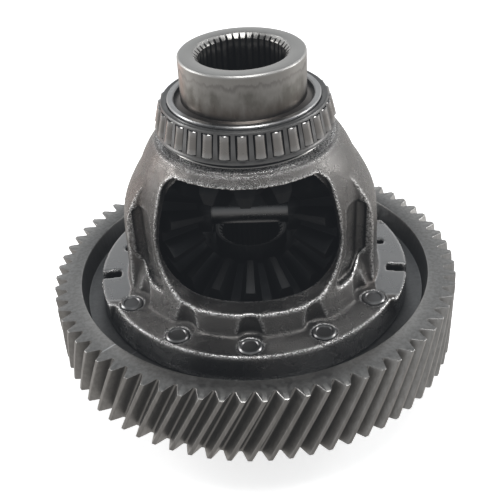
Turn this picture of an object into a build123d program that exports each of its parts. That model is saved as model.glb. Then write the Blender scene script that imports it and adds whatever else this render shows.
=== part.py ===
from build123d import *
import os
from math import acos, cos, hypot, pi, radians, sin, tan

# Differential gear assembly. Z is the axis that the wheels turn about, with the splined hub up.
# The origin is the centre of the lower hub's end face, and the pinion shaft lies along X.
# All sizes are in millimetres, and heights are measured from that end face.

# ---- Driving dimensions ----------------------------------------------------------------------
GEAR_TOP = 75.0  # upper face of the final-drive ring gear
GEAR_WIDTH = 40.2
PIN_HEIGHT = GEAR_TOP + 36.0  # axis of the pinion shaft, where the bevel gears' cones meet
HUB_TOP = GEAR_TOP + 125.0
HUB_RADIUS = 31.4
SEAT_RADIUS = 35.0  # seats for 70 mm bore taper roller bearings
SEAT_LENGTH = 18.0
UPPER_SHOULDER = GEAR_TOP + 83.3
LOWER_SHOULDER = GEAR_TOP - 42.0
BEARING_WIDTH = 20.0

# Final-drive ring gear: helical, right-hand
RING_TEETH = 69
RING_TIP = 111.0
RING_ROOT = 104.4
RING_TWIST = 0.2453  # degrees of helix per millimetre of height
TOOTH_END_CHAMFER = 0.5
RECESS_DEPTH = 12.4
WEB_THICKNESS = 14.6
REGISTER_RADIUS = 62.0

# Flange and its bolts
FLANGE_TOP = GEAR_TOP + 1.0
FLANGE_FOOT = GEAR_TOP - RECESS_DEPTH
FLANGE_RADIUS = 85.0
FLANGE_LAND = 81.6  # outer radius of the flange's top face where its edge is drafted
DRAFT_HALF_WIDTH = 38.0  # the edge is drafted beyond this distance from the XZ plane
WEB_BOTTOM = FLANGE_FOOT - WEB_THICKNESS
BOLT_ANGLES = [30, 60, 90, 120, 150, 210, 240, 270, 300, 330]  # none at the pinion shaft's ends
BOLT_CIRCLE = 73.7
BOLT_RADIUS = 6.0
BOLT_STAND_OUT = 0.9
BOLT_CHAMFER = 0.7
BOLT_RIM = 1.0  # raised edge around the dished end of each bolt
BOLT_DISH = 0.5
BOLT_HOLE = 6.5  # clearance hole in the ring gear's web
BOLT_FLANGE_RADIUS = 10.5
BOLT_HEAD_HEIGHT = 9.0
BOLT_HEX_RADIUS = 9.2  # to the corners
SCALLOP_RADIUS = 8.8
SCALLOP_CIRCLE = 71.6
SCALLOP_HEIGHT = 16.0
SLOT_ANGLES = [-7, 187]
SLOT_WIDTH = 6.5
SLOT_INNER = 74.0
SLOT_DEPTH = 8.0
OIL_HOLE_RADIUS = 2.4
OIL_HOLE_ANGLES = [12, 168]

# Gaps between pieces
LOCATED = 0.02  # radial gap of a located fit, where nothing turns
RUNNING = 0.05  # radial gap of a running fit
FACE_GAP = 0.1  # gap between faces that turn on each other

# Case interior, pinion shaft and washers
CAVITY_RADIUS = 57.0
THRUST_FACE = 40.0  # from the pinion shaft's axis to each flat thrust face
JOURNAL_BORE = 27.0
JOURNAL_DEPTH = 56.0  # from the pinion shaft's axis to the end of each journal bore
SHAFT_BORE = 22.0
WASHER = 1.1
PIN_RADIUS = 8.5
PIN_LENGTH = 133.0
LOCK_PIN_RADIUS = 2.5
LOCK_PIN_X = -60.0
LOCK_PIN_INNER = -12.0
LOCK_PIN_OUTER = 21.0

# Internal splines of the upper hub and of the side gears
HUB_SPLINES = 42
HUB_SPLINE_TIP = 21.5
HUB_SPLINE_ROOT = 23.3
HUB_SPLINE_LENGTH = 26.0
SIDE_SPLINES = 32
SIDE_SPLINE_TIP = 15.8
SIDE_SPLINE_ROOT = 17.3

# Straight bevel gears of the differential
MODULE = 6.0
SIDE_TEETH = 14
PINION_TEETH = 10
PRESSURE = radians(22.5)
SIDE_ADDENDUM = 0.65 * MODULE
PINION_ADDENDUM = 0.95 * MODULE
TIP_CLEARANCE = 0.2 * MODULE
THICKNESS_SHIFT = 0.12 * MODULE  # added to the pinion's teeth and taken off the side gear's
BACKLASH = 0.25  # taken off each tooth at its heel
CONE_DISTANCE = MODULE / 2 * hypot(SIDE_TEETH, PINION_TEETH)
SIDE_HEEL_RADIUS = 42.6  # the side gear's teeth are cut back to this radius
TOE_SHARE = 0.6  # cone distance of the toe, as a share of that of the heel

# Taper roller bearings, measured from the inner ring's back face
ROLLERS = 32
ROLLER_RADIUS = 2.95
ROLLER_LENGTH = 11.4
ROLLER_TAPER = tan(radians(1.8))
ROLLER_TILT = radians(12)
ROLLER_CIRCLE = 41.5
ROLLER_HEIGHT = 11.3
CAGE_WINDOW_WIDTH = 6.3
CAGE_INSIDE = 0.6  # the cage's wall, measured outwards from the line through the rollers' axes
CAGE_OUTSIDE = 1.7
CAGE_LIP = -1.2  # how far in the cage's top rim turns

# ---- Outlines of the case, as (radius or half-width, height) -----------------------------------
DOME = [
    (62.0, GEAR_TOP + 16.5),
    (60.6, GEAR_TOP + 26.0),
    (60.4, GEAR_TOP + 40.0),
    (59.9, GEAR_TOP + 52.0),
    (57.8, GEAR_TOP + 61.5),
    (54.4, GEAR_TOP + 70.5),
    (49.6, GEAR_TOP + 78.8),
]
BOSS = [
    (68.0, GEAR_TOP + 24.0),
    (67.6, GEAR_TOP + 38.0),
    (66.0, GEAR_TOP + 47.5),
    (61.9, GEAR_TOP + 57.0),
    (56.4, GEAR_TOP + 66.0),
    (49.0, GEAR_TOP + 75.0),
]
BOSS_HALF_WIDTH = 23.0
CHANNEL = [
    (49.4, GEAR_TOP + 56.5),
    (60.0, GEAR_TOP + 50.0),
    (60.0, GEAR_TOP + 24.0),
    (52.0, GEAR_TOP + 13.5),
    (43.0, GEAR_TOP + 13.5),
    (49.4, GEAR_TOP + 28.0),
]
CHANNEL_FLOOR = 59.0  # radius of the channels' floor beside each window
CHANNEL_BACK = 21.0  # distance from the XZ plane where the channels end inside the bosses
WINDOW_BOTTOM = GEAR_TOP + 12.6
WINDOW_WAIST = GEAR_TOP + 40.0
WINDOW_TOP = GEAR_TOP + 77.0
WINDOW_INNER_DEPTH = 30.0  # distance from the axis of the narrow end of each window's cut
WINDOW_OUTER_DEPTH = 66.0
WINDOW_SPREAD = 15.0  # how much further each side stands out at the wide end


def save(piece, name):
    piece.label = name
    export_step(piece, f"parts/{name}.step")


def turned(corners):
    """A solid of revolution about Z, from (radius, height) corners."""
    with BuildPart() as turning:
        with BuildSketch(Plane.XZ):
            with BuildLine():
                Polyline(*corners, close=True)
            make_face()
        revolve(axis=Axis.Z)
    return turning.part


def placed(piece, place):
    """A copy of a piece at a location."""
    with BuildPart() as copy:
        with Locations(place):
            add(piece)
    return copy.part


os.makedirs("parts", exist_ok=True)

# ---- Differential case -------------------------------------------------------------------------
with BuildPart() as shell:
    with BuildSketch(Plane.XZ):
        with BuildLine():
            Spline(*DOME)
            Polyline(
                DOME[0],
                (64.0, GEAR_TOP + 11.6),
                (67.0, FLANGE_TOP),
                (FLANGE_RADIUS - 0.8, FLANGE_TOP),
                (FLANGE_RADIUS, FLANGE_TOP - 0.8),
                (FLANGE_RADIUS, FLANGE_FOOT),
                (REGISTER_RADIUS, FLANGE_FOOT),
                (REGISTER_RADIUS, FLANGE_FOOT - 11.0),
                (52.0, LOWER_SHOULDER + 11.0),
                (45.0, LOWER_SHOULDER + 2.0),
                (42.6, LOWER_SHOULDER),
                (SEAT_RADIUS, LOWER_SHOULDER),
                (SEAT_RADIUS, LOWER_SHOULDER - SEAT_LENGTH),
                (HUB_RADIUS, LOWER_SHOULDER - SEAT_LENGTH - 1.2),
                (HUB_RADIUS, 1.2),
                (HUB_RADIUS - 1.2, 0),
                (0, 0),
                (0, HUB_TOP),
                (HUB_RADIUS - 1.0, HUB_TOP),
                (HUB_RADIUS, HUB_TOP - 1.0),
                (HUB_RADIUS, UPPER_SHOULDER + SEAT_LENGTH + 1.2),
                (SEAT_RADIUS, UPPER_SHOULDER + SEAT_LENGTH),
                (SEAT_RADIUS, UPPER_SHOULDER),
                (44.2, UPPER_SHOULDER),
                (47.2, UPPER_SHOULDER - 1.6),
                DOME[-1],
            )
        make_face()
    revolve(axis=Axis.Z)

# Raised bosses that carry the two ends of the pinion shaft and run down to the flange.
with BuildPart() as bosses:
    with BuildSketch(Plane.XZ):
        with BuildLine():
            Spline(*BOSS)
            Polyline(BOSS[-1], (40.0, BOSS[-1][1]), (40.0, FLANGE_TOP), (69.0, FLANGE_TOP), BOSS[0])
        make_face()
    revolve(axis=Axis.Z)
    with BuildSketch():
        RectangleRounded(170, 2 * BOSS_HALF_WIDTH, 3)
    extrude(amount=HUB_TOP, mode=Mode.INTERSECT)

# Sunk panels between the border of each window and the bosses.
with BuildPart() as channels:
    with BuildSketch(Plane.XZ) as channel_front:
        with BuildLine():
            Polyline(*CHANNEL, close=True)
        make_face()
        fillet(channel_front.vertices(), 2.2)
        mirror(about=Plane.YZ)
    extrude(amount=75, both=True)
    Cylinder(CHANNEL_FLOOR, 3 * HUB_TOP, mode=Mode.SUBTRACT)
    Box(4 * FLANGE_RADIUS, 2 * CHANNEL_BACK, 3 * HUB_TOP, mode=Mode.SUBTRACT)

# The front window's cut, wider at the outside than at the inside.
with BuildPart() as window:
    for depth, spread, corner in (
        (WINDOW_INNER_DEPTH, 0.0, 24.0),
        (WINDOW_OUTER_DEPTH, WINDOW_SPREAD, 28.0),
    ):
        with BuildSketch(Plane.XZ.offset(depth)) as outline:
            with BuildLine():
                Polyline(
                    (-42.0 - spread, WINDOW_BOTTOM),
                    (42.0 + spread, WINDOW_BOTTOM),
                    (43.6 + spread, WINDOW_WAIST),
                    (38.0 + spread, WINDOW_TOP),
                    (-38.0 - spread, WINDOW_TOP),
                    (-43.6 - spread, WINDOW_WAIST),
                    close=True,
                )
            make_face()
            fillet(outline.vertices().group_by(Axis.Y)[0], corner)
            fillet(outline.vertices().group_by(Axis.Y)[-1], corner / 2)
    loft(ruled=True)

# Everything inside: the machined sphere, thrust faces, journals and shaft bores.
with BuildPart() as interior:
    Sphere(CAVITY_RADIUS)
    with BuildSketch():
        Rectangle(4 * CAVITY_RADIUS, 4 * CAVITY_RADIUS)
    extrude(amount=THRUST_FACE, both=True, mode=Mode.INTERSECT)
    Cylinder(JOURNAL_BORE, 2 * JOURNAL_DEPTH)
    Cylinder(SHAFT_BORE, 2 * HUB_TOP, align=(Align.CENTER, Align.CENTER, Align.MAX))
    Cylinder(HUB_SPLINE_TIP, 2 * HUB_TOP, align=(Align.CENTER, Align.CENTER, Align.MIN))

# Entry chamfer and one groove of the upper hub's splines.
hub_mouth = turned(
    [
        (0, HUB_TOP + 1),
        (HUB_SPLINE_ROOT + 1, HUB_TOP + 1),
        (HUB_SPLINE_TIP - 0.5, HUB_TOP - 2.3),
        (0, HUB_TOP - 2.3),
    ]
)
with BuildPart() as hub_groove:
    with BuildSketch(Plane.XY.offset(HUB_TOP - HUB_SPLINE_LENGTH)):
        with BuildLine():
            Polyline(
                (HUB_SPLINE_TIP - 1, -1.05),
                (HUB_SPLINE_ROOT, -0.7),
                (HUB_SPLINE_ROOT, 0.7),
                (HUB_SPLINE_TIP - 1, 1.05),
                close=True,
            )
        make_face()
    extrude(amount=2 * HUB_SPLINE_LENGTH)

# Drafted edge of the flange, in front and behind.
with BuildPart() as flange_draft:
    add(
        turned(
            [
                (FLANGE_LAND, FLANGE_TOP + 0.1),
                (FLANGE_RADIUS + 1, FLANGE_TOP + 0.1),
                (FLANGE_RADIUS + 1, FLANGE_FOOT + 3.0),
                (FLANGE_RADIUS - 0.2, FLANGE_FOOT + 3.0),
            ]
        )
    )
    Box(4 * FLANGE_RADIUS, 2 * DRAFT_HALF_WIDTH, 4 * HUB_TOP, mode=Mode.SUBTRACT)

with BuildPart() as differential_case:
    add(shell.part)
    add(bosses.part)
    add(channels.part, mode=Mode.SUBTRACT)
    add(window.part, mode=Mode.SUBTRACT)
    add(window.part.rotate(Axis.Z, 180), mode=Mode.SUBTRACT)
    with Locations((0, 0, PIN_HEIGHT)):
        add(interior.part, mode=Mode.SUBTRACT)
        Cylinder(
            PIN_RADIUS + LOCATED, 2 * FLANGE_RADIUS, rotation=(0, 90, 0), mode=Mode.SUBTRACT
        )
    with Locations(Location((LOCK_PIN_X, LOCK_PIN_INNER, PIN_HEIGHT), (-90, 0, 0))):
        Cylinder(
            LOCK_PIN_RADIUS + LOCATED,
            80,
            align=(Align.CENTER, Align.CENTER, Align.MIN),
            mode=Mode.SUBTRACT,
        )
    add(hub_mouth, mode=Mode.SUBTRACT)
    with PolarLocations(0, HUB_SPLINES):
        add(hub_groove.part, mode=Mode.SUBTRACT)
    add(flange_draft.part, mode=Mode.SUBTRACT)
    for angle in BOLT_ANGLES:
        with PolarLocations(BOLT_CIRCLE, 1, start_angle=angle):
            Cylinder(BOLT_RADIUS + LOCATED, 3 * HUB_TOP, mode=Mode.SUBTRACT)
        with Locations(Plane.XY.offset(FLANGE_TOP)):
            with PolarLocations(SCALLOP_CIRCLE, 1, start_angle=angle):
                Cylinder(
                    SCALLOP_RADIUS,
                    SCALLOP_HEIGHT,
                    align=(Align.CENTER, Align.CENTER, Align.MIN),
                    mode=Mode.SUBTRACT,
                )
    for angle in SLOT_ANGLES:
        with Locations(Plane.XY.offset(FLANGE_TOP)):
            with PolarLocations(SLOT_INNER, 1, start_angle=angle):
                Box(
                    30,
                    SLOT_WIDTH,
                    2 * SLOT_DEPTH,
                    align=(Align.MIN, Align.CENTER, Align.CENTER),
                    mode=Mode.SUBTRACT,
                )
    for angle in OIL_HOLE_ANGLES:
        with PolarLocations(BOLT_CIRCLE, 1, start_angle=angle):
            Cylinder(OIL_HOLE_RADIUS, 3 * HUB_TOP, mode=Mode.SUBTRACT)
save(differential_case.part, "differential_case")

# ---- Final-drive ring gear ---------------------------------------------------------------------
with BuildPart() as tooth_gap:
    for drop in (-1.0, 13.0, 27.0, GEAR_WIDTH + 1.0):
        turn = radians(-drop * RING_TWIST)
        section = Plane((0, 0, GEAR_TOP - drop), x_dir=(cos(turn), sin(turn), 0), z_dir=(0, 0, 1))
        with BuildSketch(section):
            with BuildLine():
                ThreePointArc((RING_ROOT + 0.5, -1.0), (RING_ROOT, 0), (RING_ROOT + 0.5, 1.0))
                ThreePointArc((RING_ROOT + 0.5, 1.0), (108.0, 2.42), (112.0, 4.25))
                Line((112.0, 4.25), (112.0, -4.25))
                ThreePointArc((112.0, -4.25), (108.0, -2.42), (RING_ROOT + 0.5, -1.0))
            make_face()
    loft()

with BuildPart() as ring_gear:
    add(
        turned(
            [
                (REGISTER_RADIUS + LOCATED, FLANGE_FOOT),
                (94.1, FLANGE_FOOT),
                (96.0, GEAR_TOP - 0.8),
                (96.8, GEAR_TOP),
                (RING_TIP - 2 * TOOTH_END_CHAMFER, GEAR_TOP),
                (RING_TIP, GEAR_TOP - TOOTH_END_CHAMFER),
                (RING_TIP, GEAR_TOP - GEAR_WIDTH + TOOTH_END_CHAMFER),
                (RING_TIP - 2 * TOOTH_END_CHAMFER, GEAR_TOP - GEAR_WIDTH),
                (95.5, GEAR_TOP - GEAR_WIDTH),
                (94.5, GEAR_TOP - GEAR_WIDTH + 1.0),
                (92.0, WEB_BOTTOM),
                (REGISTER_RADIUS + LOCATED, WEB_BOTTOM),
            ]
        )
    )
    with PolarLocations(0, RING_TEETH):
        add(tooth_gap.part, mode=Mode.SUBTRACT)
    for angle in BOLT_ANGLES:
        with PolarLocations(BOLT_CIRCLE, 1, start_angle=angle):
            Cylinder(BOLT_HOLE, 3 * HUB_TOP, mode=Mode.SUBTRACT)
save(ring_gear.part, "ring_gear")

# ---- Ring gear bolts, fitted from below and screwed into the case's flange ----------------------
bolt_tip = FLANGE_TOP + BOLT_STAND_OUT
bolt_dish = BOLT_RADIUS - BOLT_CHAMFER - BOLT_RIM - BOLT_DISH
with BuildPart() as bolt:
    add(
        turned(
            [
                (0, WEB_BOTTOM - 2.0),
                (BOLT_FLANGE_RADIUS - 1.0, WEB_BOTTOM - 2.0),
                (BOLT_FLANGE_RADIUS, WEB_BOTTOM - 1.0),
                (BOLT_FLANGE_RADIUS, WEB_BOTTOM),
                (BOLT_RADIUS, WEB_BOTTOM),
                (BOLT_RADIUS, bolt_tip - BOLT_CHAMFER),
                (BOLT_RADIUS - BOLT_CHAMFER, bolt_tip),
                (bolt_dish + BOLT_DISH, bolt_tip),
                (bolt_dish, bolt_tip - BOLT_DISH),
                (0, bolt_tip - BOLT_DISH),
            ]
        )
    )
    with BuildSketch(Plane.XY.offset(WEB_BOTTOM - BOLT_HEAD_HEIGHT)):
        RegularPolygon(BOLT_HEX_RADIUS, 6)
    extrude(amount=BOLT_HEAD_HEIGHT - 2.0)
    chamfer(bolt.edges().group_by(Axis.Z)[0], 0.6)

for number, angle in enumerate(BOLT_ANGLES, 1):
    turn = radians(angle)
    spot = Location((BOLT_CIRCLE * cos(turn), BOLT_CIRCLE * sin(turn), 0), (0, 0, angle))
    save(placed(bolt.part, spot), f"ring_gear_bolt_{number:02d}")

# ---- Taper roller bearings ---------------------------------------------------------------------


def bearing_point(along, out):
    """A (radius, height) point, given along a roller's axis and outwards from it."""
    return (
        ROLLER_CIRCLE - along * sin(ROLLER_TILT) + out * cos(ROLLER_TILT),
        ROLLER_HEIGHT + along * cos(ROLLER_TILT) + out * sin(ROLLER_TILT),
    )


def race_point(along, raised=0.0):
    """A point on the inner raceway, or raised above it."""
    return bearing_point(along, raised - ROLLER_RADIUS + along * ROLLER_TAPER - RUNNING)


half_roller = ROLLER_LENGTH / 2
rib_foot = race_point(half_roller + 0.3)
rib_top = race_point(half_roller + 0.3, 0.9)
inner_ring = turned(
    [
        (SEAT_RADIUS, 0.8),
        (SEAT_RADIUS + 0.8, 0),
        (39.8, 0),
        (40.6, 0.8),
        race_point(-half_roller - 0.1, 2.2),
        race_point(-half_roller - 0.1),
        rib_foot,
        rib_top,
        (rib_top[0], BEARING_WIDTH - 0.5),
        (rib_top[0] - 0.5, BEARING_WIDTH),
        (SEAT_RADIUS + 0.6, BEARING_WIDTH),
        (SEAT_RADIUS, BEARING_WIDTH - 0.6),
    ]
)

roller_plane = Plane(
    (ROLLER_CIRCLE, 0, ROLLER_HEIGHT),
    x_dir=(cos(ROLLER_TILT), 0, sin(ROLLER_TILT)),
    z_dir=(-sin(ROLLER_TILT), 0, cos(ROLLER_TILT)),
)
with BuildPart(roller_plane) as roller:
    Cone(
        ROLLER_RADIUS + half_roller * ROLLER_TAPER,
        ROLLER_RADIUS - half_roller * ROLLER_TAPER,
        ROLLER_LENGTH,
    )
    chamfer(roller.edges().filter_by(GeomType.CIRCLE), 0.3)
with BuildPart() as rollers:
    with PolarLocations(0, ROLLERS):
        add(roller.part)

with BuildPart(roller_plane) as cage_window:
    with Locations(((CAGE_INSIDE + CAGE_OUTSIDE) / 2, 0, 0)):
        Box(4 * (CAGE_OUTSIDE - CAGE_INSIDE), CAGE_WINDOW_WIDTH, ROLLER_LENGTH + 0.6)
with BuildPart() as cage:
    add(
        turned(
            [
                bearing_point(-half_roller - 2.5, CAGE_INSIDE),
                bearing_point(-half_roller - 2.5, CAGE_OUTSIDE + 0.3),
                bearing_point(-half_roller - 1.6, CAGE_OUTSIDE + 0.3),
                bearing_point(-half_roller - 0.8, CAGE_OUTSIDE),
                bearing_point(half_roller + 1.0, CAGE_OUTSIDE),
                bearing_point(half_roller + 1.6, CAGE_OUTSIDE - 0.3),
                bearing_point(half_roller + 1.9, CAGE_OUTSIDE - 1.0),
                bearing_point(half_roller + 1.9, CAGE_LIP),
                bearing_point(half_roller + 0.6, CAGE_LIP),
                bearing_point(half_roller + 0.6, CAGE_INSIDE),
            ]
        )
    )
    with PolarLocations(0, ROLLERS):
        add(cage_window.part, mode=Mode.SUBTRACT)

bearing_places = {
    "upper": Location((0, 0, UPPER_SHOULDER)),
    "lower": Location((0, 0, LOWER_SHOULDER), (180, 0, 0)),
}
for side, place in bearing_places.items():
    save(placed(inner_ring, place), f"{side}_bearing_inner_ring")
    save(placed(rollers.part, place), f"{side}_bearing_rollers")
    save(placed(cage.part, place), f"{side}_bearing_cage")

# ---- Bevel gears, drawn about Z with the cones' common point at the origin ----------------------
SIDE_PITCH = MODULE * SIDE_TEETH / 2
PINION_PITCH = MODULE * PINION_TEETH / 2


def involute(angle):
    return tan(angle) - angle


def heel_point(pitch_radius, mate_pitch_radius, out, share=1.0):
    """A (radius, height) point on the heel's back cone, out from the pitch cone, or nearer in."""
    slope_cos = mate_pitch_radius / CONE_DISTANCE
    slope_sin = pitch_radius / CONE_DISTANCE
    return (
        share * (pitch_radius + out * slope_cos),
        share * (mate_pitch_radius - out * slope_sin),
    )


def bevel_gap(pitch_radius, mate_pitch_radius, addendum, dedendum, tooth_change):
    """The space between two teeth, tapering to the cones' common point."""
    slope_cos = mate_pitch_radius / CONE_DISTANCE
    slope_sin = pitch_radius / CONE_DISTANCE
    pitch = pitch_radius / slope_cos  # radius of the equivalent spur gear at the heel
    base = pitch * cos(PRESSURE)
    gap_width = pi * MODULE / 2 - tooth_change + BACKLASH
    half_gap = gap_width / (2 * pitch)

    def flank_point(radius, side, share):
        opening = involute(acos(base / max(radius, base))) - involute(PRESSURE)
        turn = side * (half_gap + opening)
        return (share * radius * sin(turn), share * (radius * cos(turn) - pitch))

    root = pitch - dedendum
    over = pitch + 1.35 * addendum
    flank_radii = [base + step * (over - base) / 4 for step in range(5)]
    with BuildPart() as gap:
        for share in (TOE_SHARE - 0.04, 1.045):
            heel = (share * pitch_radius, 0, share * mate_pitch_radius)
            plane = Plane(heel, x_dir=(0, -1, 0), z_dir=(slope_sin, 0, slope_cos))
            with BuildSketch(plane) as section:
                with BuildLine():
                    for side in (-1, 1):
                        Spline(*[flank_point(radius, side, share) for radius in flank_radii])
                        Line(flank_point(base, side, share), flank_point(root, side, share))
                    Line(flank_point(root, -1, share), flank_point(root, 1, share))
                    Line(flank_point(over, -1, share), flank_point(over, 1, share))
                make_face()
                fillet(section.vertices().group_by(Axis.Y)[0], 0.9 * share)
        loft(ruled=True)
    return gap.part


# Side gear: teeth towards the pinion shaft, thrust face and journal behind them.
side_heel_tip = heel_point(SIDE_PITCH, PINION_PITCH, SIDE_ADDENDUM)
side_toe_tip = heel_point(SIDE_PITCH, PINION_PITCH, SIDE_ADDENDUM, TOE_SHARE)
side_dedendum = PINION_ADDENDUM + TIP_CLEARANCE
side_toe_root = heel_point(SIDE_PITCH, PINION_PITCH, -side_dedendum, TOE_SHARE)
side_back = THRUST_FACE - WASHER - FACE_GAP
side_gap = bevel_gap(
    SIDE_PITCH, PINION_PITCH, SIDE_ADDENDUM, side_dedendum, -THICKNESS_SHIFT
)
heel_cut = side_heel_tip[1] * SIDE_HEEL_RADIUS / side_heel_tip[0]
with BuildPart() as side_spline:
    with BuildSketch():
        with BuildLine():
            Polyline(
                (SIDE_SPLINE_TIP - 1, -0.9),
                (SIDE_SPLINE_ROOT, -0.6),
                (SIDE_SPLINE_ROOT, 0.6),
                (SIDE_SPLINE_TIP - 1, 0.9),
                close=True,
            )
        make_face()
    extrude(amount=HUB_TOP)
with BuildPart() as side_gear:
    add(
        turned(
            [
                (SIDE_SPLINE_TIP, 14.0),
                (18.0, 12.3),
                (19.4, 12.3),
                (19.4, 20.6),
                side_toe_root,
                side_toe_tip,
                (SIDE_HEEL_RADIUS, heel_cut),
                (SIDE_HEEL_RADIUS, 31.5),
                (37.0, side_back),
                (JOURNAL_BORE - RUNNING, side_back),
                (JOURNAL_BORE - RUNNING, JOURNAL_DEPTH - 2.0),
                (JOURNAL_BORE - RUNNING - 1.0, JOURNAL_DEPTH - 1.0),
                (SIDE_SPLINE_ROOT + 1.2, JOURNAL_DEPTH - 1.0),
                (SIDE_SPLINE_TIP, JOURNAL_DEPTH - 3.5),
            ]
        )
    )
    with PolarLocations(0, SIDE_TEETH):
        add(side_gap, mode=Mode.SUBTRACT)
    with PolarLocations(0, SIDE_SPLINES):
        add(side_spline.part, mode=Mode.SUBTRACT)

side_washer = turned(
    [
        (JOURNAL_BORE + 0.3, THRUST_FACE - WASHER),
        (36.0, THRUST_FACE - WASHER),
        (36.0, THRUST_FACE),
        (JOURNAL_BORE + 0.3, THRUST_FACE),
    ]
)

# Pinion: spherical back that turns against a dished washer in the case.
pinion_heel_tip = heel_point(PINION_PITCH, SIDE_PITCH, PINION_ADDENDUM)
pinion_toe_tip = heel_point(PINION_PITCH, SIDE_PITCH, PINION_ADDENDUM, TOE_SHARE)
pinion_dedendum = SIDE_ADDENDUM + TIP_CLEARANCE
pinion_toe_root = heel_point(PINION_PITCH, SIDE_PITCH, -pinion_dedendum, TOE_SHARE)
pinion_heel_root = heel_point(PINION_PITCH, SIDE_PITCH, -pinion_dedendum)
pinion_gap = bevel_gap(
    PINION_PITCH, SIDE_PITCH, PINION_ADDENDUM, pinion_dedendum, THICKNESS_SHIFT
)
with BuildPart() as pinion:
    add(
        turned(
            [
                (PIN_RADIUS + RUNNING, 20.5),
                (12.5, 20.5),
                (12.5, pinion_toe_root[1]),
                pinion_toe_root,
                pinion_toe_tip,
                pinion_heel_tip,
                pinion_heel_root,
                (25.2, pinion_heel_root[1] + 0.6),
                (25.2, CAVITY_RADIUS),
                (PIN_RADIUS + RUNNING, CAVITY_RADIUS),
            ]
        )
    )
    Sphere(CAVITY_RADIUS - WASHER - FACE_GAP, mode=Mode.INTERSECT)
    with PolarLocations(0, PINION_TEETH, start_angle=180 / PINION_TEETH):
        add(pinion_gap, mode=Mode.SUBTRACT)

with BuildPart() as pinion_washer:
    Sphere(CAVITY_RADIUS)
    Sphere(CAVITY_RADIUS - WASHER, mode=Mode.SUBTRACT)
    with BuildSketch():
        Circle(25.0)
        Circle(PIN_RADIUS + 0.4, mode=Mode.SUBTRACT)
    extrude(amount=CAVITY_RADIUS, mode=Mode.INTERSECT)

side_places = {
    "upper": Location((0, 0, PIN_HEIGHT)),
    "lower": Location((0, 0, PIN_HEIGHT), (180, 0, 0)),
}
for side, place in side_places.items():
    save(placed(side_gear.part, place), f"{side}_side_gear")
    save(placed(side_washer, place), f"{side}_side_gear_washer")

pinion_places = {
    "right": Location((0, 0, PIN_HEIGHT), (0, 90, 0)),
    "left": Location((0, 0, PIN_HEIGHT), (0, -90, 0)),
}
for side, place in pinion_places.items():
    save(placed(pinion.part, place), f"{side}_pinion_gear")
    save(placed(pinion_washer.part, place), f"{side}_pinion_washer")

# ---- Pinion shaft and the pin that locks it in the case -----------------------------------------
with BuildPart() as pinion_shaft:
    with Locations((0, 0, PIN_HEIGHT)):
        Cylinder(PIN_RADIUS, PIN_LENGTH, rotation=(0, 90, 0))
    chamfer(pinion_shaft.edges().filter_by(GeomType.CIRCLE), 1.0)
    with Locations(Location((LOCK_PIN_X, 0, PIN_HEIGHT), (90, 0, 0))):
        Cylinder(LOCK_PIN_RADIUS + LOCATED, 4 * PIN_RADIUS, mode=Mode.SUBTRACT)
save(pinion_shaft.part, "pinion_shaft")

with BuildPart(Plane((LOCK_PIN_X, LOCK_PIN_INNER, PIN_HEIGHT), z_dir=(0, 1, 0))) as lock_pin:
    Cylinder(
        LOCK_PIN_RADIUS,
        LOCK_PIN_OUTER - LOCK_PIN_INNER,
        align=(Align.CENTER, Align.CENTER, Align.MIN),
    )
    chamfer(lock_pin.edges().filter_by(GeomType.CIRCLE), 0.5)
save(lock_pin.part, "pinion_shaft_lock_pin")
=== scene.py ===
"""Looks for the differential gear assembly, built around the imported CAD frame.

Lengths are in metres. MM turns the millimetres of the part's own dimensions into metres.
"""

from math import cos, pi, radians, sin

import bmesh
import bpy
import numpy as np
from mathutils import Matrix, Vector

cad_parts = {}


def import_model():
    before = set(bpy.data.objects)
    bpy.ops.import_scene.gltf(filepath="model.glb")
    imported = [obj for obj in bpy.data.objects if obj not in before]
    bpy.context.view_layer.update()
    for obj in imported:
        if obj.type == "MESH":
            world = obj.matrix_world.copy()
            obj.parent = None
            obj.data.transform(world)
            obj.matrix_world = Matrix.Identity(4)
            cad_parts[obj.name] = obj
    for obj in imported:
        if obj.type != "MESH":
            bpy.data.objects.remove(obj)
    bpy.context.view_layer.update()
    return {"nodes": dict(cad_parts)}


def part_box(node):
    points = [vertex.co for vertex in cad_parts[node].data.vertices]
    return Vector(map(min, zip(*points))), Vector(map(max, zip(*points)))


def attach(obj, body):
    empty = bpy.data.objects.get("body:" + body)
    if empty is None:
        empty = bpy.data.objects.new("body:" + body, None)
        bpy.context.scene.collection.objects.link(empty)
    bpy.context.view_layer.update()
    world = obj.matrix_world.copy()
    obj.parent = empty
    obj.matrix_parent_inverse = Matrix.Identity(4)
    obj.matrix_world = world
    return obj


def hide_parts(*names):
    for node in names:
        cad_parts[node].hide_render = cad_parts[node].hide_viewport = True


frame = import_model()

NODES = frame["nodes"]
MM = 0.001
SHARP_EDGE = radians(32)

# ---- Places read from the frame ----------------------------------------------------------------
RING_LOW, RING_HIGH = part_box("ring_gear")
GEAR_TOP = RING_HIGH.z
GEAR_WIDTH = RING_HIGH.z - RING_LOW.z
HUB_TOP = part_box("differential_case")[1].z
UPPER_SHOULDER, BEARING_TOP = (corner.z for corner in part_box("upper_bearing_inner_ring"))
LOWER_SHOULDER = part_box("lower_bearing_inner_ring")[1].z


# ---- Mesh helpers ------------------------------------------------------------------------------
def shade(mesh, angle=SHARP_EDGE):
    """Smooth shading that keeps edges sharper than the angle crisp."""
    for polygon in mesh.polygons:
        polygon.use_smooth = True
    mesh.set_sharp_from_angle(angle=angle)


def new_object(name, points, faces):
    mesh = bpy.data.meshes.new(name)
    mesh.from_pydata([tuple(p) for p in points], [], faces)
    mesh.validate()
    obj = bpy.data.objects.new(name, mesh)
    bpy.context.scene.collection.objects.link(obj)
    shade(mesh)
    return obj


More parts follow.
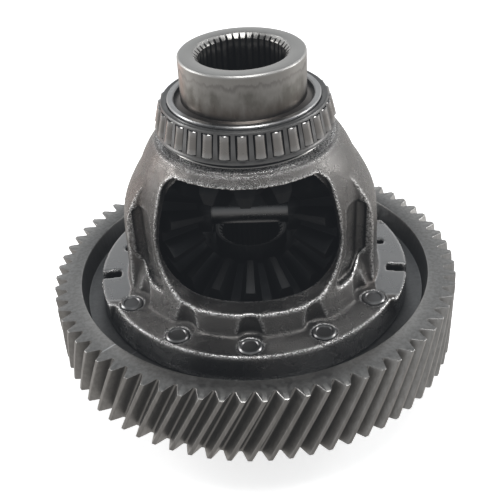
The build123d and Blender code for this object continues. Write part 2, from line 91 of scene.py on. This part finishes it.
def closed_grid(name, rows):
    """A mesh from closed rings of points, each joined to the next, and the last to the first."""
    rows = np.array(rows)
    count, around = rows.shape[:2]
    ring = np.arange(around)
    after = (ring + 1) % around
    faces = []
    for row in range(count):
        here = row * around
        there = ((row + 1) % count) * around
        faces += np.stack([here + ring, here + after, there + after, there + ring], 1).tolist()
    return new_object(name, rows.reshape(-1, 3), faces)


def circle_row(radius, height, angles):
    return np.stack(
        [radius * np.cos(angles), radius * np.sin(angles), np.full(len(angles), height)], 1
    )


def lathe(name, outline, steps=192):
    """A closed solid of revolution from (radius, height) points in metres."""
    angles = np.arange(steps) * 2 * pi / steps
    return closed_grid(name, [circle_row(r, z, angles) for r, z in outline])


def rounded(outline, radius, steps=3):
    """A closed (radius, height) outline with each corner rounded off."""
    points = [Vector(p) for p in outline]
    result = []
    for number, corner in enumerate(points):
        before = points[number - 1] - corner
        after = points[(number + 1) % len(points)] - corner
        cut = min(radius, before.length * 0.45, after.length * 0.45)
        start = corner + before.normalized() * cut
        end = corner + after.normalized() * cut
        for step in range(steps + 1):
            t = step / steps
            result.append(start * (1 - t) ** 2 + corner * 2 * t * (1 - t) + end * t**2)
    return [(p.x, p.y) for p in result]


def adopt(obj, body, slot, *nodes):
    """The piece stands for CAD nodes and moves with a body; the slot argument is not used."""
    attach(obj, body)
    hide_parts(*nodes)


# ---- Material helpers --------------------------------------------------------------------------
class Shader:
    """A Principled material with helpers for the nodes that feed it."""

    def __init__(self, name):
        self.material = bpy.data.materials.new(name)
        self.material.use_nodes = True
        self.nodes = self.material.node_tree.nodes
        self.links = self.material.node_tree.links
        self.surface = self.nodes["Principled BSDF"]

    def add(self, kind, inputs=None, **settings):
        node = self.nodes.new(kind)
        for key, value in settings.items():
            setattr(node, key, value)
        for key, value in (inputs or {}).items():
            self.feed(node.inputs[key], value)
        return node

    def feed(self, socket, value):
        if isinstance(value, bpy.types.NodeSocket):
            self.links.new(value, socket)
        else:
            socket.default_value = value

    def set(self, **inputs):
        for key, value in inputs.items():
            self.feed(self.surface.inputs[key.replace("_", " ")], value)

    def place(self):
        return self.add("ShaderNodeTexCoord").outputs["Object"]

    def stretched(self, scale, place=None):
        mapping = self.add("ShaderNodeMapping", {"Vector": place or self.place(), "Scale": scale})
        return mapping.outputs["Vector"]

    def noise(self, scale, detail=4.0, roughness=0.55, place=None):
        node = self.add(
            "ShaderNodeTexNoise",
            {
                "Vector": place or self.place(),
                "Scale": scale,
                "Detail": detail,
                "Roughness": roughness,
            },
        )
        return node.outputs["Fac"]

    def between(self, value, low, high, new_low=0.0, new_high=1.0):
        node = self.add(
            "ShaderNodeMapRange",
            {
                "Value": value,
                "From Min": low,
                "From Max": high,
                "To Min": new_low,
                "To Max": new_high,
            },
        )
        return node.outputs["Result"]

    def maths(self, operation, first, second=0.0):
        node = self.add("ShaderNodeMath", operation=operation)
        self.feed(node.inputs[0], first)
        self.feed(node.inputs[1], second)
        return node.outputs["Value"]

    def mix(self, factor, first, second):
        node = self.add("ShaderNodeMix", data_type="RGBA")
        self.feed(node.inputs["Factor"], factor)
        self.feed(node.inputs[6], first)
        self.feed(node.inputs[7], second)
        return node.outputs[2]

    def shadowed(self, distance):
        """0 deep in crevices and 1 in the open."""
        return self.add("ShaderNodeAmbientOcclusion", {"Distance": distance}, samples=8).outputs["AO"]

    def edges(self):
        """Around 0.5 on flat surfaces and higher on outward edges."""
        return self.add("ShaderNodeNewGeometry").outputs["Pointiness"]

    def bump(self, height, distance, strength=1.0, normal=None):
        node = self.add(
            "ShaderNodeBump", {"Height": height, "Distance": distance, "Strength": strength}
        )
        if normal is not None:
            self.feed(node.inputs["Normal"], normal)
        return node.outputs["Normal"]


def grey(value, warmth=0.0):
    return (value * (1 + warmth), value, value * (1 - warmth), 1.0)


# ---- Materials ---------------------------------------------------------------------------------
FLANGE_TOP = GEAR_TOP + 1.0 * MM
PAD_INNER = 65.5 * MM  # the flange's machined pads begin this far from the axis, along X
PAD_HALF_WIDTH = 33.5 * MM
RECESS_EDGE = 95.9 * MM  # radius of the recess in the ring gear's upper face


def cast_iron():
    """Oily casting: dark and glossy, grainy, rubbed bright along its edges, with machined pads, and
    with painted shade in its crevices and below the flange's top.
    """
    m = Shader("case_cast_iron")
    split = m.add("ShaderNodeSeparateXYZ", {"Vector": m.place()})
    x, y, z = (split.outputs[axis] for axis in "XYZ")
    pads = machined_pads(m, x, y, z)
    blotches = m.noise(32, 5)
    grain = m.noise(2300, 2)
    sand = m.noise(1250, 3)
    patches = m.between(m.noise(30, 3), 0.4, 0.62, 0.25, 1.0)

    worn = m.between(m.edges(), 0.502, 0.528)
    speckle = m.between(sand, 0.42, 0.56)
    colour = m.mix(blotches, (0.078, 0.074, 0.071, 1), (0.145, 0.140, 0.134, 1))
    colour = m.mix(m.between(m.noise(12, 3), 0.55, 0.75), colour, (0.13, 0.105, 0.09, 1))
    # Painted shade: crevices and hollows of the casting are darkened.
    colour = m.mix(m.between(m.shadowed(0.012), 0.25, 0.9), grey(0.02, 0.03), colour)
    colour = m.mix(m.maths("MULTIPLY", worn, speckle), colour, grey(0.6, 0.01))
    glints = m.maths("MULTIPLY", m.between(grain, 0.6, 0.72), m.between(patches, 0.4, 1.0, 0.1, 0.6))
    colour = m.mix(glints, colour, grey(0.5, 0.01))
    colour = m.mix(pads, colour, grey(0.33, 0.01))
    # Painted shade: the casting below the flange's top is darkened, as the flange's side wall lies in
    # shadow.
    low = m.between(z, FLANGE_TOP - 3.0 * MM, FLANGE_TOP - 0.4 * MM, 1.0, 0.0)
    colour = m.mix(m.maths("MULTIPLY", low, 0.65), colour, grey(0.03, -0.03))

    roughness = m.between(m.noise(70, 4), 0.3, 0.75, 0.2, 0.38)
    height = m.maths("MULTIPLY", m.between(pads, 0.0, 1.0, 1.0, 0.06), patches)
    bumps = m.bump(m.maths("MULTIPLY", sand, height), 0.0010, 0.8)
    bumps = m.bump(m.maths("MULTIPLY", grain, height), 0.0005, 0.9, bumps)
    m.set(Base_Color=colour, Metallic=0.9, Roughness=roughness, Normal=bumps)
    return m.material


def machined_pads(m, x, y, z):
    """1 on the two flat pads of the flange, under the ends of the pinion shaft."""
    beyond = m.between(m.maths("ABSOLUTE", x), PAD_INNER, PAD_INNER + 1.0 * MM)
    inside = m.between(m.maths("ABSOLUTE", y), PAD_HALF_WIDTH, PAD_HALF_WIDTH + 2.0 * MM, 1.0, 0.0)
    level = m.maths("ABSOLUTE", m.maths("SUBTRACT", z, FLANGE_TOP))
    flat = m.between(level, 0.2 * MM, 0.5 * MM, 1.0, 0.0)
    return m.maths("MULTIPLY", m.maths("MULTIPLY", beyond, inside), flat)


def gear_steel():
    """Hobbed and oiled gear steel: satin grey, streaked along its teeth, with painted shade in its
    recess.
    """
    m = Shader("ring_gear_steel")
    place = m.place()
    split = m.add("ShaderNodeSeparateXYZ", {"Vector": place})
    flat = m.add("ShaderNodeVectorMath", {0: place, 1: (1, 1, 0)}, operation="MULTIPLY")
    radius = m.add("ShaderNodeVectorMath", {0: flat.outputs["Vector"]}, operation="LENGTH")
    inside = m.between(radius.outputs["Value"], RECESS_EDGE, RECESS_EDGE + 0.7 * MM, 1.0, 0.0)
    sunk = m.between(split.outputs["Z"], GEAR_TOP - 1.6 * MM, GEAR_TOP - 0.4 * MM, 1.0, 0.0)
    recess = m.maths("MULTIPLY", inside, sunk)
    streaks = m.noise(520, 4, place=m.stretched((1.0, 1.0, 0.08)))
    colour = m.mix(m.noise(30, 4), (0.31, 0.305, 0.297, 1), (0.41, 0.402, 0.39, 1))
    colour = m.mix(m.between(streaks, 0.38, 0.62, 0.0, 0.5), colour, (0.22, 0.213, 0.2, 1))
    # Painted shade: the gaps between the teeth are darkened.
    colour = m.mix(m.between(m.shadowed(0.007), 0.1, 0.75), (0.17, 0.165, 0.155, 1), colour)
    colour = m.mix(m.between(m.edges(), 0.53, 0.62), colour, grey(0.6))
    # Painted shade: the recess's wall and floor are darkened as if in shadow.
    colour = m.mix(m.maths("MULTIPLY", recess, 0.6), colour, grey(0.09, -0.06))
    m.set(
        Base_Color=colour,
        Metallic=1.0,
        Roughness=m.between(m.noise(420, 3), 0.3, 0.7, 0.32, 0.44),
        Normal=m.bump(streaks, 0.00012, 0.3),
    )
    return m.material


def hub_steel():
    """Turned hub: satin, with fine rings, a worn dark band and streaks under it."""
    m = Shader("hub_ground_steel")
    place = m.place()
    height = m.add("ShaderNodeSeparateXYZ", {"Vector": place}).outputs["Z"]
    streaks = m.noise(260, 4, place=m.stretched((1.0, 1.0, 0.25)))
    ragged = m.maths("MULTIPLY", m.maths("SUBTRACT", streaks, 0.5), 9 * MM)
    along = m.maths("ADD", height, ragged)
    above = m.between(along, HUB_TOP - 7.5 * MM, HUB_TOP - 5.5 * MM)
    below = m.between(along, HUB_TOP - 5.0 * MM, HUB_TOP - 4.0 * MM, 1.0, 0.0)
    band = m.maths("MULTIPLY", m.maths("MULTIPLY", above, below), 0.65)
    colour = m.mix(m.noise(48, 4), (0.35, 0.345, 0.335, 1), (0.46, 0.455, 0.44, 1))
    # The side below the top rim is darker, in noisy patches.
    below_top_rim = m.between(height, HUB_TOP - 1.6 * MM, HUB_TOP - 0.6 * MM, 1.0, 0.0)
    side_patches = m.between(m.noise(90, 4, place=m.stretched((1.0, 1.0, 0.4))), 0.3, 0.7, 0.45, 0.95)
    colour = m.mix(m.maths("MULTIPLY", below_top_rim, side_patches), colour, (0.27, 0.26, 0.245, 1))
    colour = m.mix(band, colour, (0.17, 0.16, 0.15, 1))
    under = m.between(along, HUB_TOP - 10.0 * MM, HUB_TOP - 6.5 * MM, 1.0, 0.0)
    mottled = m.between(m.noise(150, 5, place=m.stretched((1.0, 1.0, 0.6))), 0.4, 0.6, 0.3, 0.8)
    upper = m.between(height, UPPER_SHOULDER, UPPER_SHOULDER + 1.0 * MM)
    under = m.maths("MULTIPLY", under, upper)
    colour = m.mix(m.maths("MULTIPLY", under, mottled), colour, (0.13, 0.125, 0.11, 1))
    foot = m.between(along, BEARING_TOP + 1.0 * MM, BEARING_TOP + 9.0 * MM, 0.9, 0.0)
    colour = m.mix(m.maths("MULTIPLY", foot, upper), colour, (0.075, 0.06, 0.05, 1))
    # Painted shade: crevices are darkened.
    colour = m.mix(m.between(m.shadowed(0.006), 0.2, 0.85), grey(0.10), colour)
    rings = m.noise(1100, 2, place=m.stretched((0.05, 0.05, 1.0)))
    rim = m.between(height, HUB_TOP - 2.0 * MM, HUB_TOP - 0.8 * MM)
    sheen = m.between(m.maths("ADD", streaks, band), 0.3, 1.2, 0.26, 0.5)
    sheen = m.maths("MAXIMUM", sheen, m.maths("MULTIPLY", rim, 0.46))
    m.set(
        Base_Color=colour,
        Metallic=1.0,
        Roughness=sheen,
        Normal=m.bump(rings, 0.00006, 0.3),
    )
    return m.material


def turned_steel(name, dark, light, low_rough, high_rough, warmth=0.01, open_shade=0.3):
    """Ground or turned steel, with faint rings about the part's axis, painted shade in its crevices
    and painted highlights along its edges.
    """
    m = Shader(name)
    colour = m.mix(m.noise(55, 4), grey(dark, warmth), grey(light, warmth))
    # Painted shade: crevices are darkened.
    crevice_shade = m.between(m.shadowed(0.006), 0.2, 0.85)
    colour = m.mix(crevice_shade, grey(dark * open_shade, warmth), colour)
    # Painted highlight: outward edges are lightened, standing in for glints of light along them.
    colour = m.mix(m.between(m.edges(), 0.52, 0.6), colour, grey(min(1.6 * light, 0.8)))
    rings = m.noise(900, 2, place=m.stretched((0.06, 0.06, 1.0)))
    m.set(
        Base_Color=colour,
        Metallic=1.0,
        Roughness=m.between(m.noise(120, 3), 0.3, 0.7, low_rough, high_rough),
        Normal=m.bump(rings, 0.00006, 0.25),
    )
    return m.material


CAST = cast_iron()
GEAR = gear_steel()
HUB = hub_steel()
BEARING = turned_steel("bearing_ring_steel", 0.2, 0.28, 0.26, 0.36)
CAGE = turned_steel("cage_pressed_steel", 0.075, 0.115, 0.38, 0.5, 0.02, 0.35)
ROLLER = turned_steel("roller_ground_steel", 0.19, 0.26, 0.24, 0.34, 0.05, 0.5)
BEVEL = turned_steel("bevel_gear_forged_steel", 0.012, 0.020, 0.5, 0.62, -0.06)
SHAFT = turned_steel("shaft_ground_steel", 0.05, 0.09, 0.24, 0.34, -0.05)
WASHER = turned_steel("washer_steel", 0.12, 0.18, 0.3, 0.4)
BOLT = turned_steel("bolt_black_steel", 0.13, 0.19, 0.28, 0.4)


# ---- Ring gear ---------------------------------------------------------------------------------
RING_TEETH = 69
RING_TWIST = radians(0.2453) / MM  # turn per metre of height
RING_TIP = 111.0 * MM
RING_ROOT = 104.4 * MM
RING_BLANK = 103.9 * MM  # outside of the end faces' plain rings, under the teeth
WEB_BORE = 62.02 * MM
WEB_DEPTH = 12.4 * MM
WEB_THICKNESS = 14.6 * MM
FACE_CHAMFER = 0.22 * MM
FLANK_CHAMFER = 0.12 * MM
GAP_FOOT = 0.5 * MM  # height over the root where a tooth's straight flank begins
GAP_FOOT_HALF = 1.0 * MM
GAP_SLOPE = 0.465
GAP_CURVE = 5.0  # per metre


def half_gap(radius):
    """Half the width of the space between two teeth."""
    above = radius - RING_ROOT - GAP_FOOT
    return GAP_FOOT_HALF + GAP_SLOPE * above + GAP_CURVE * above * above


def tooth_profile(depth):
    """(distance from the space's middle, radius) points from there to the tooth's middle."""
    widen = max(0.0, FLANK_CHAMFER - depth)
    limit = RING_TIP - 2 * max(0.0, FACE_CHAMFER - depth)
    profile = [(0.0, RING_ROOT)]
    for side, rise in ((0.45, 0.06), (0.8, 0.24)):
        profile.append((side * MM, RING_ROOT + rise * MM))
    for rise in (0.6, 1.1, 1.8, 2.7, 3.6, 4.5, 5.3, 5.9, 6.3):
        profile.append((half_gap(RING_ROOT + rise * MM), RING_ROOT + rise * MM))
    tip_corner = half_gap(RING_TIP)
    profile.append((tip_corner - 0.02 * MM, RING_TIP - 0.12 * MM))
    profile.append((tip_corner + 0.14 * MM, RING_TIP - 0.02 * MM))
    profile.append((tip_corner + 0.35 * MM, RING_TIP))
    middle = pi * RING_TIP / RING_TEETH
    profile.append((0.5 * (tip_corner + middle), RING_TIP))
    return [(min(side + widen, middle), min(radius, limit)) for side, radius in profile], middle


def tooth_row(depth, height):
    """One ring of points round all the teeth, at a depth from the nearer end face."""
    profile, middle = tooth_profile(depth)
    half = [(side / radius, radius) for side, radius in profile]
    pitch = 2 * pi / RING_TEETH
    half.append((pitch / 2, half[-1][1]))
    turn = (height - GEAR_TOP) * RING_TWIST
    row = []
    for tooth in range(RING_TEETH):
        start = tooth * pitch + turn
        for angle, radius in half:
            row.append((radius * cos(start + angle), radius * sin(start + angle), height))
        for angle, radius in reversed(half[1:-1]):
            away = start + pitch - angle
            row.append((radius * cos(away), radius * sin(away), height))
    return row


def row_angles(row):
    return np.array([np.arctan2(y, x) for x, y, _ in row])


def ring_gear():
    """Rows of points down the toothed rim, then back up round its end faces and the web."""
    edge_depths = [0.0, 0.06, 0.12, 0.22, 0.6]
    depths = [d * MM for d in edge_depths] + [d * MM for d in np.arange(3.0, 39.0, 2.85)]
    far = [GEAR_WIDTH - d * MM for d in reversed(edge_depths)]
    rows = []
    for drop in depths + far:
        nearest = min(drop, GEAR_WIDTH - drop)
        rows.append(tooth_row(nearest, GEAR_TOP - drop))
    bottom = GEAR_TOP - GEAR_WIDTH
    web_top = GEAR_TOP - WEB_DEPTH
    web_bottom = web_top - WEB_THICKNESS
    outline = [
        (RING_BLANK, bottom),
        (95.4 * MM, bottom),
        (94.7 * MM, bottom + 0.3 * MM),
        (94.4 * MM, bottom + 1.0 * MM),
        (92.2 * MM, web_bottom - 1.4 * MM),
        (91.8 * MM, web_bottom - 0.4 * MM),
        (90.9 * MM, web_bottom),
        (WEB_BORE + 0.38 * MM, web_bottom),
        (WEB_BORE, web_bottom + 0.4 * MM),
        (WEB_BORE, web_top - 0.4 * MM),
        (WEB_BORE + 0.38 * MM, web_top),
        (92.9 * MM, web_top),
        (93.8 * MM, web_top + 0.35 * MM),
        (94.3 * MM, web_top + 1.2 * MM),
        (96.0 * MM, GEAR_TOP - 1.0 * MM),
        (96.3 * MM, GEAR_TOP - 0.35 * MM),
        (97.0 * MM, GEAR_TOP),
        (RING_BLANK, GEAR_TOP),
    ]
    low_angles = row_angles(rows[-1])
    high_angles = row_angles(rows[0])
    spread = np.angle(np.exp(1j * (high_angles - low_angles)))
    for radius, height in outline:
        share = (height - bottom) / GEAR_WIDTH
        rows.append(circle_row(radius, height, low_angles + share * spread).tolist())
    obj = closed_grid("ring_gear_teeth_and_web", rows)
    obj.data.materials.append(GEAR)
    adopt(obj, "case", "ring_gear_steel", "ring_gear")


ring_gear()


# ---- Differential case -------------------------------------------------------------------------
CAST_VOXEL = 0.8 * MM
SEAM_HEIGHT = 0.01 * MM  # how near the cut an open edge lies to be part of it


def apply_modifiers(obj):
    """Put the object's mesh, as its modifiers leave it, in place of its own."""
    bpy.context.view_layer.update()
    evaluated = obj.evaluated_get(bpy.context.evaluated_depsgraph_get())
    mesh = bpy.data.meshes.new_from_object(evaluated)
    obj.modifiers.clear()
    obj.data = mesh


def cut_flat(body, height, keep_above):
    """Cut a bmesh at a height, keep one side and close the cut."""
    bmesh.ops.bisect_plane(
        body,
        geom=body.verts[:] + body.edges[:] + body.faces[:],
        plane_co=(0, 0, height),
        plane_no=(0, 0, 1),
        clear_outer=not keep_above,
        clear_inner=keep_above,
    )
    rims = []
    for edge in body.edges:
        if edge.is_boundary and abs(edge.verts[0].co.z - height) < SEAM_HEIGHT:
            rims.append(edge)
    bmesh.ops.triangle_fill(body, edges=rims, use_beauty=True, normal=(0, 0, 1))


def casting():
    """The cast body between the two bearings, with soft cast edges."""
    source = NODES["differential_case"]
    obj = bpy.data.objects.new("case_casting", source.data.copy())
    bpy.context.scene.collection.objects.link(obj)
    obj.data.materials.clear()
    remesh = obj.modifiers.new("voxels", "REMESH")
    remesh.mode = "VOXEL"
    remesh.voxel_size = CAST_VOXEL
    soften = obj.modifiers.new("soften", "SMOOTH")
    soften.factor = 0.5
    soften.iterations = 6
    apply_modifiers(obj)
    body = bmesh.new()
    body.from_mesh(obj.data)
    cut_flat(body, UPPER_SHOULDER - 0.6 * MM, keep_above=False)
    cut_flat(body, LOWER_SHOULDER + 1.0 * MM, keep_above=True)
    bmesh.ops.recalc_face_normals(body, faces=body.faces[:])
    body.to_mesh(obj.data)
    body.free()
    shade(obj.data, radians(60))
    obj.data.materials.append(CAST)
    adopt(obj, "case", "case_casting", "differential_case")


casting()

SPLINES = 42
SPLINE_TIP = 21.5 * MM
SPLINE_ROOT = 23.3 * MM
SPLINE_LENGTH = 26.0 * MM
NECK_INSIDE = 24.0 * MM  # the upper hub's hidden end, inside the casting
HUB_RADIUS = 31.4 * MM
SHAFT_BORE = 22.0 * MM
SEAT_RADIUS = 35.0 * MM
SEAT_LENGTH = 18.0 * MM


def upper_hub():
    """Machined hub: bearing seat outside and splines inside its mouth."""
    pitch = 2 * pi / SPLINES
    steps = [0.0, 0.12, 0.2, 0.24, 0.32, 0.40, 0.44, 0.5, 0.62, 0.75, 0.88]
    groove = [1, 1, 1, 0.9, 0.45, 0.08, 0, 0, 0, 0, 0]
    fractions, depths = [], []
    for number in range(SPLINES):
        for step, depth in zip(steps, groove):
            fractions.append((number + step / 2) * pitch)
            depths.append(depth)
        for step, depth in zip(reversed(steps[1:]), reversed(groove[1:])):
            fractions.append((number + 1 - step / 2) * pitch)
            depths.append(depth)
    angles = np.array(fractions)
    depths = np.array(depths)

    def splined(height, opened=0.0):
        radius = SPLINE_TIP + (SPLINE_ROOT - SPLINE_TIP) * depths
        radius = np.maximum(radius, opened)
        return circle_row(radius, height, angles)

    top = HUB_TOP
    bottom = UPPER_SHOULDER
    outside = rounded(
        [
            (NECK_INSIDE, bottom - 6.0 * MM),
            (38.0 * MM, bottom - 6.0 * MM),
            (41.0 * MM, bottom - 1.0 * MM),
            (40.6 * MM, bottom),
            (SEAT_RADIUS + 0.2 * MM, bottom),
            (SEAT_RADIUS, bottom + 0.4 * MM),
            (SEAT_RADIUS, bottom + SEAT_LENGTH),
            (HUB_RADIUS, bottom + SEAT_LENGTH + 1.2 * MM),
            (HUB_RADIUS, top - 0.8 * MM),
            (HUB_RADIUS - 0.8 * MM, top),
            (SPLINE_ROOT + 0.6 * MM, top),
        ],
        0.25 * MM,
        2,
    )
    rows = [circle_row(r, z, angles) for r, z in outside]
    for drop, opened in ((0.25, 23.6), (0.8, 23.05), (1.4, 22.45), (2.0, 21.85)):
        rows.append(splined(top - drop * MM, opened * MM))
    for drop in (2.5, 6.0, 14.0, SPLINE_LENGTH / MM):
        rows.append(splined(top - drop * MM))
    rows.append(circle_row(NECK_INSIDE, top - SPLINE_LENGTH - 0.2 * MM, angles))
    obj = closed_grid("upper_hub", rows)
    obj.data.materials.append(HUB)
    adopt(obj, "case", "case_casting", "differential_case")


def lower_hub():
    """Machined lower hub with its bearing seat and a plain bore."""
    top = LOWER_SHOULDER
    outline = rounded(
        [
            (SHAFT_BORE, top + 5.0 * MM),
            (SHAFT_BORE, 0.8 * MM),
            (SHAFT_BORE + 0.8 * MM, 0.0),
            (HUB_RADIUS - 1.2 * MM, 0.0),
            (HUB_RADIUS, 1.2 * MM),
            (HUB_RADIUS, top - SEAT_LENGTH - 1.2 * MM),
            (SEAT_RADIUS, top - SEAT_LENGTH),
            (SEAT_RADIUS, top - 0.4 * MM),
            (SEAT_RADIUS + 0.2 * MM, top),
            (42.4 * MM, top),
            (42.9 * MM, top + 0.5 * MM),
            (44.5 * MM, top + 3.0 * MM),
            (40.0 * MM, top + 5.0 * MM),
        ],
        0.25 * MM,
        2,
    )
    obj = lathe("lower_hub", outline)
    obj.data.materials.append(HUB)
    adopt(obj, "case", "case_casting", "differential_case")


upper_hub()
lower_hub()


# ---- CAD nodes that keep their shape ------------------------------------------------------------
def finish_node(name, material):
    node = NODES[name]
    node.data.materials.clear()
    node.data.materials.append(material)
    shade(node.data, radians(28))


for side in ("upper", "lower"):
    finish_node(f"{side}_bearing_inner_ring", BEARING)
    finish_node(f"{side}_bearing_cage", CAGE)
    finish_node(f"{side}_bearing_rollers", ROLLER)
    finish_node(f"{side}_side_gear", BEVEL)
    finish_node(f"{side}_side_gear_washer", WASHER)
for side in ("right", "left"):
    finish_node(f"{side}_pinion_gear", BEVEL)
    finish_node(f"{side}_pinion_washer", WASHER)
finish_node("pinion_shaft", SHAFT)
finish_node("pinion_shaft_lock_pin", SHAFT)
for name in NODES:
    if name.startswith("ring_gear_bolt"):
        finish_node(name, BOLT)


# ---- Floor, lights and camera -------------------------------------------------------------------
FLOOR_HALF = 20.0
FLOOR_HEIGHT = -0.2 * MM


def floor():
    corners = []
    for x, y in ((-1, -1), (1, -1), (1, 1), (-1, 1)):
        corners.append((x * FLOOR_HALF, y * FLOOR_HALF, FLOOR_HEIGHT))
    obj = new_object("floor", corners, [(0, 1, 2, 3)])
    m = Shader("floor_white")
    m.set(
        Base_Color=(0.93, 0.93, 0.93, 1),
        Roughness=0.7,
        Emission_Color=(1, 1, 1, 1),
        Emission_Strength=0.6,
    )
    # Seen from below, the floor lets the part's underside show.
    below = m.add("ShaderNodeNewGeometry").outputs["Backfacing"]
    clear = m.add("ShaderNodeBsdfTransparent").outputs["BSDF"]
    sides = m.add("ShaderNodeMixShader", {0: below, 1: m.surface.outputs["BSDF"], 2: clear})
    m.links.new(sides.outputs["Shader"], m.nodes["Material Output"].inputs["Surface"])
    obj.data.materials.append(m.material)
    obj.visible_glossy = False
    obj.visible_diffuse = False


def area_light(name, place, target, size, power, colour=(1, 1, 1)):
    """A soft rectangular light that faces its target; the power is in watts."""
    data = bpy.data.lights.new(name, "AREA")
    data.shape = "RECTANGLE"
    data.size, data.size_y = size
    data.energy = power
    data.color = colour
    obj = bpy.data.objects.new(name, data)
    obj.location = place
    obj.rotation_euler = (Vector(target) - Vector(place)).to_track_quat("-Z", "Y").to_euler()
    bpy.context.scene.collection.objects.link(obj)


def ramp(nodes, links, source, stops):
    """A colour ramp from (position, brightness, coolness) stops."""
    node = nodes.new("ShaderNodeValToRGB")
    elements = node.color_ramp.elements
    while len(elements) < len(stops):
        elements.new(0.5)
    for element, (position, value, cool) in zip(elements, stops):
        element.position = position
        element.color = (value * (1 - cool), value, value * (1 + cool), 1)
    links.new(source, node.inputs["Fac"])
    return node.outputs["Color"]


def world():
    """A bright horizon, dark overhead, warm and dimmer below and on the camera's side."""
    sky = bpy.data.worlds.new("studio")
    bpy.context.scene.world = sky
    sky.use_nodes = True
    nodes, links = sky.node_tree.nodes, sky.node_tree.links
    place = nodes.new("ShaderNodeTexCoord")
    split = nodes.new("ShaderNodeSeparateXYZ")
    links.new(place.outputs["Generated"], split.inputs["Vector"])
    halves = []
    for axis in ("Y", "Z"):
        half = nodes.new("ShaderNodeMath")
        half.operation = "MULTIPLY_ADD"
        half.inputs[1].default_value = 0.5
        half.inputs[2].default_value = 0.5
        links.new(split.outputs[axis], half.inputs[0])
        halves.append(half.outputs["Value"])
    depth_stops = [(0.0, 0.6, 0.0), (0.35, 0.7, 0.0), (0.6, 1.0, 0.0), (1.0, 1.0, 0.0)]
    height_stops = [
        (0.0, 0.5, -0.04),
        (0.3, 0.7, -0.04),
        (0.52, 1.0, 0.0),
        (0.68, 1.0, 0.01),
        (0.78, 0.55, 0.04),
        (0.86, 0.1, 0.1),
        (1.0, 0.15, 0.06),
    ]
    product = nodes.new("ShaderNodeMix")
    product.data_type = "RGBA"
    product.blend_type = "MULTIPLY"
    product.inputs["Factor"].default_value = 1.0
    links.new(ramp(nodes, links, halves[0], depth_stops), product.inputs[6])
    links.new(ramp(nodes, links, halves[1], height_stops), product.inputs[7])
    seen = nodes.new("ShaderNodeMix")
    seen.data_type = "RGBA"
    seen.inputs[7].default_value = (1, 1, 1, 1)
    links.new(nodes.new("ShaderNodeLightPath").outputs["Is Camera Ray"], seen.inputs["Factor"])
    links.new(product.outputs[2], seen.inputs[6])
    links.new(seen.outputs[2], nodes["Background"].inputs["Color"])
    nodes["Background"].inputs["Strength"].default_value = 1.0


def camera():
    """The photograph's view: elevation, a slight roll and the distance that frames the part."""
    turn = radians(5.0)
    elevation = radians(35.115)
    roll = radians(-4.421)
    right = Vector((cos(turn), sin(turn), 0))
    ahead = Vector((-sin(turn) * cos(elevation), cos(turn) * cos(elevation), -sin(elevation)))
    up = right.cross(ahead)
    across = right * cos(roll) + up * sin(roll)
    upward = up * cos(roll) - right * sin(roll)
    data = bpy.data.cameras.new("camera")
    data.sensor_width = 36.0
    data.lens = 62.54
    data.shift_x = 0.0512
    data.shift_y = 0.0154
    data.clip_start = 0.01
    obj = bpy.data.objects.new("camera", data)
    matrix = Matrix((across, upward, -ahead)).transposed().to_4x4()
    matrix.translation = Vector((0.0190, -0.3981, 0.2842 + GEAR_TOP))
    obj.matrix_world = matrix
    bpy.context.scene.collection.objects.link(obj)
    bpy.context.scene.camera = obj


floor()
world()
area_light("overhead", (0.1, -0.25, 1.2), (0, 0, 0.08), (0.5, 0.5), 8)
area_light(
    "warm_card",
    (-0.54, 0.48, 0.07),
    (-0.056, -0.016, 0.14),
    (0.24, 0.3),
    0.11,
    (1.0, 0.42, 0.25),
)
area_light("left", (-0.9, 0.1, 0.45), (0, 0, 0.1), (0.25, 0.6), 5)
area_light("right", (0.9, 0.15, 0.45), (0, 0, 0.1), (0.25, 0.6), 4)
camera()

view = bpy.context.scene.view_settings
view.view_transform = "Standard"
# A slight haze, as in the photograph: its darkest shadows are a deep blue-grey.
view.use_curve_mapping = True
view.curve_mapping.black_level = (-0.0095, -0.0105, -0.0120)
view.curve_mapping.update()
